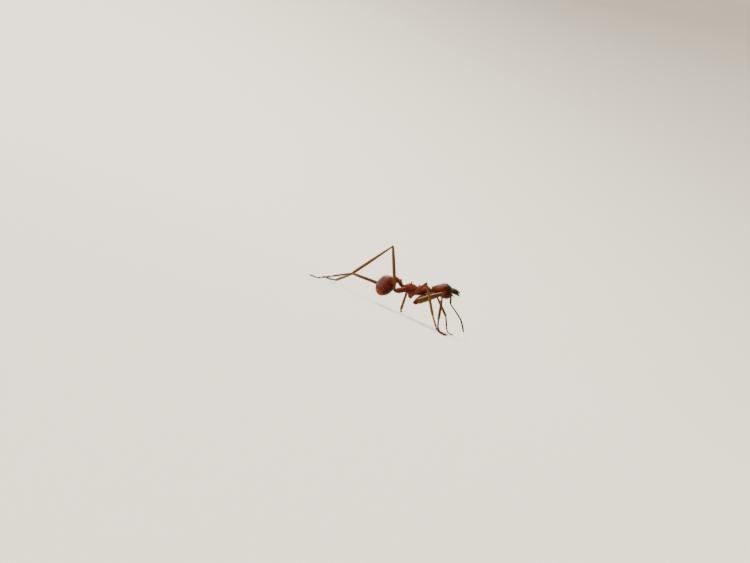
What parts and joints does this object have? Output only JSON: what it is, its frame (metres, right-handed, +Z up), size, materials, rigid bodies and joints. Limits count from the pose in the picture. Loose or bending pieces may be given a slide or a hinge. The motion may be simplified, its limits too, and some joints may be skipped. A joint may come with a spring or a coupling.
{
  "type": "leafcutter ant",
  "caption": "Life-size leafcutter ant model, a spiny-backed forager striding on long thin legs with its head raised, jaws parted and gaster hanging low.",
  "frame": {"origin": "middle of the bounding box on the floor that the feet stand on", "axes": "+X the way the ant walks, +Y its left side, +Z up"},
  "size_m": [0.0198, 0.0174, 0.0072],
  "materials": {
    "head": "satin red-brown cuticle, darker at the mouth, finely ridged",
    "eye": "glossy black-brown, finely faceted",
    "mandible": "hard dark brown cuticle with a darker toothed edge",
    "antenna": "dull olive-brown cuticle under fine down",
    "thorax": "satin red-brown cuticle with pinkish lights",
    "waist": "satin orange-brown cuticle",
    "gaster": "smooth dark maroon cuticle, orange-brown at the tip",
    "leg": "satin ochre to red-brown cuticle",
    "foot": "dull red-brown cuticle with short bristles"
  },
  "bodies": {
    "root": {"coxa_fore_left": "leg", "coxa_fore_right": "leg", "coxa_hind_left": "leg", "coxa_hind_right": "leg", "coxa_mid_left": "leg", "coxa_mid_right": "leg", "eye_left": "eye", "eye_right": "eye", "femur_fore_left": "leg", "femur_fore_right": "leg", "femur_hind_left": "leg", "femur_hind_right": "leg", "femur_mid_left": "leg", "femur_mid_right": "leg", "funiculus_left": "antenna", "funiculus_right": "antenna", "gaster": "gaster", "head": "head", "mandible_left": "mandible", "mandible_right": "mandible", "mesosoma": "thorax", "petiole": "waist", "postpetiole": "waist", "scape_left": "antenna", "scape_right": "antenna", "tarsus_fore_left": "foot", "tarsus_fore_right": "foot", "tarsus_hind_left": "foot", "tarsus_hind_right": "foot", "tarsus_mid_left": "foot", "tarsus_mid_right": "foot", "tibia_fore_left": "leg", "tibia_fore_right": "leg", "tibia_hind_left": "leg", "tibia_hind_right": "leg", "tibia_mid_left": "leg", "tibia_mid_right": "leg", "trochanter_fore_left": "leg", "trochanter_fore_right": "leg", "trochanter_hind_left": "leg", "trochanter_hind_right": "leg", "trochanter_mid_left": "leg", "trochanter_mid_right": "leg"}
  },
  "joints": []
}
